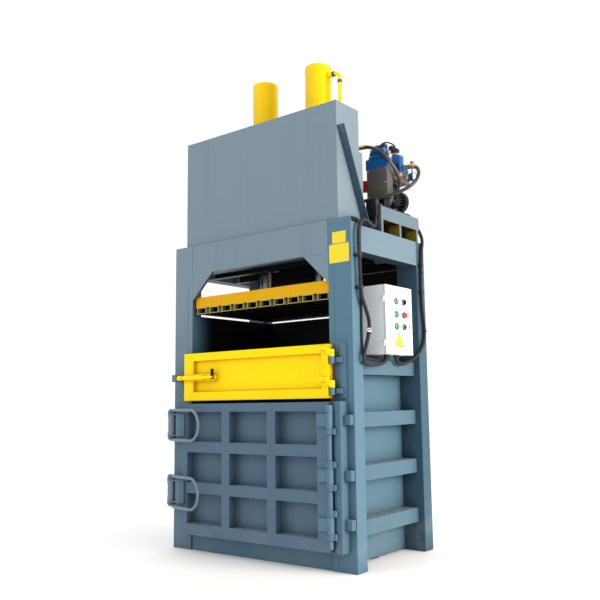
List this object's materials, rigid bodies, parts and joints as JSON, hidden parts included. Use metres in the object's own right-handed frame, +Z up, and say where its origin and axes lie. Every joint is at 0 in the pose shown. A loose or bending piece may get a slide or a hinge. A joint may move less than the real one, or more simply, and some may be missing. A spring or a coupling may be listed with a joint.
{
  "type": "recycling baler",
  "caption": "Vertical baling press with twin hydraulic cylinders, ram platen, latched bale door, feed door, control box and power pack.",
  "frame": {"origin": "on the floor, under the middle of the frame, at the centre base beam's underside", "axes": "+Z up, -Y towards the front where the doors are, +X to the right seen from the front"},
  "size_m": [1.9799, 1.199, 3.808],
  "materials": {
    "frame_paint": "satin enamel",
    "hood_paint": "satin enamel",
    "yellow_paint": "semi-gloss enamel",
    "platen_paint": "worn semi-gloss enamel",
    "bright_steel": "ground and plated",
    "bare_steel": "machined",
    "box_paint": "powder coat",
    "motor_paint": "satin enamel",
    "cast_metal": "as cast, painted",
    "manifold_metal": "machined",
    "valve_paint": "gloss enamel",
    "brass": "machined",
    "hose_rubber": "matte",
    "black_plastic": "matte",
    "red_plastic": "gloss",
    "green_plastic": "gloss"
  },
  "bodies": {
    "frame": {"base_beams": "frame_paint", "chamber_floor": "frame_paint", "conduit_fittings": "black_plastic", "control_box": "box_paint", "cylinder_barrel_left": "yellow_paint", "cylinder_barrel_right": "yellow_paint", "cylinder_crown": "frame_paint", "cylinder_glands": "bare_steel", "cylinder_pipes": "yellow_paint", "door_keepers": "frame_paint", "electric_fittings": "black_plastic", "feed_hinge_bar": "frame_paint", "front_conduit": "hose_rubber", "front_header": "frame_paint", "front_post_left": "frame_paint", "front_post_right": "frame_paint", "hood": "hood_paint", "hood_braces": "frame_paint", "hose_fittings": "brass", "inner_conduit": "hose_rubber", "main_hinge_bar": "frame_paint", "main_hinge_rod": "frame_paint", "manifold_block": "manifold_metal", "motor_body": "motor_paint", "oil_tank": "frame_paint", "pack_base": "motor_paint", "pack_platform": "frame_paint", "pressure_gauge": "valve_paint", "pump": "cast_metal", "rear_conduit": "hose_rubber", "rear_header": "frame_paint", "rear_posts": "frame_paint", "rear_wall": "frame_paint", "return_hose": "hose_rubber", "side_beams": "frame_paint", "side_walls": "frame_paint", "supply_hose": "hose_rubber", "valve_blocks": "valve_paint", "wall_ribs": "frame_paint"},
    "ram": {"platen_frame": "platen_paint", "platen_tubes": "platen_paint", "ram_rod_left": "bright_steel", "ram_rod_right": "bright_steel"},
    "main_door": {"main_door_grid": "frame_paint", "main_door_plate": "frame_paint", "main_door_fittings": "frame_paint"},
    "latch_upper": {"latch_upper": "frame_paint"},
    "latch_lower": {"latch_lower": "frame_paint"},
    "feed_door": {"feed_door_panel": "yellow_paint", "feed_door_arms": "yellow_paint", "bolt_guide": "yellow_paint"},
    "feed_bolt": {"feed_bolt": "yellow_paint"},
    "panel_door": {"panel_door": "box_paint"},
    "motor_rotor": {"motor_rotor": "bright_steel"},
    "green_button_top": {"green_button_top": "green_plastic"},
    "green_button_middle": {"green_button_middle": "green_plastic"},
    "green_button_bottom": {"green_button_bottom": "green_plastic"},
    "red_button": {"red_button": "red_plastic"},
    "black_button": {"black_button": "black_plastic"},
    "selector_switch": {"selector_switch": "black_plastic"}
  },
  "joints": [
    {"name": "ram_stroke", "type": "slide", "parent": "frame", "child": "ram", "axis": [0, 0, -1], "range_m": [0, 1.3]},
    {"name": "main_door_swing", "type": "hinge", "parent": "frame", "child": "main_door", "pos_m": [0.75, -0.598, 0.6], "axis": [0, 0, 1], "range_deg": [0, 165]},
    {"name": "latch_upper_turn", "type": "hinge", "parent": "main_door", "child": "latch_upper", "pos_m": [-0.832, -0.572, 0.96], "axis": [0, 0, -1], "range_deg": [-10, 110]},
    {"name": "latch_lower_turn", "type": "hinge", "parent": "main_door", "child": "latch_lower", "pos_m": [-0.832, -0.572, 0.45], "axis": [0, 0, -1], "range_deg": [-10, 110]},
    {"name": "feed_door_swing", "type": "hinge", "parent": "frame", "child": "feed_door", "pos_m": [0.74, -0.545, 1.33], "axis": [0, 0, 1], "range_deg": [0, 160]},
    {"name": "feed_bolt_slide", "type": "slide", "parent": "feed_door", "child": "feed_bolt", "axis": [-1, 0, 0], "range_m": [0, 0.05]},
    {"name": "panel_door_swing", "type": "hinge", "parent": "frame", "child": "panel_door", "pos_m": [0.92, -0.155, 1.7], "axis": [0, 0, -1], "range_deg": [0, 120]},
    {"name": "motor_spin", "type": "hinge", "parent": "frame", "child": "motor_rotor", "pos_m": [0.745, 0.3, 2.69], "axis": [0, 1, 0], "continuous": true},
    {"name": "green_button_top_press", "type": "slide", "parent": "panel_door", "child": "green_button_top", "axis": [-1, 0, 0], "range_m": [0, 0.003], "stiffness_N_per_m": 400},
    {"name": "green_button_middle_press", "type": "slide", "parent": "panel_door", "child": "green_button_middle", "axis": [-1, 0, 0], "range_m": [0, 0.003], "stiffness_N_per_m": 400},
    {"name": "green_button_bottom_press", "type": "slide", "parent": "panel_door", "child": "green_button_bottom", "axis": [-1, 0, 0], "range_m": [0, 0.003], "stiffness_N_per_m": 400},
    {"name": "red_button_press", "type": "slide", "parent": "panel_door", "child": "red_button", "axis": [-1, 0, 0], "range_m": [0, 0.003], "stiffness_N_per_m": 400},
    {"name": "black_button_press", "type": "slide", "parent": "panel_door", "child": "black_button", "axis": [-1, 0, 0], "range_m": [0, 0.003], "stiffness_N_per_m": 400},
    {"name": "selector_turn", "type": "hinge", "parent": "panel_door", "child": "selector_switch", "pos_m": [0.936, 0.1, 1.842], "axis": [-1, 0, 0], "range_deg": [0, 60]}
  ]
}
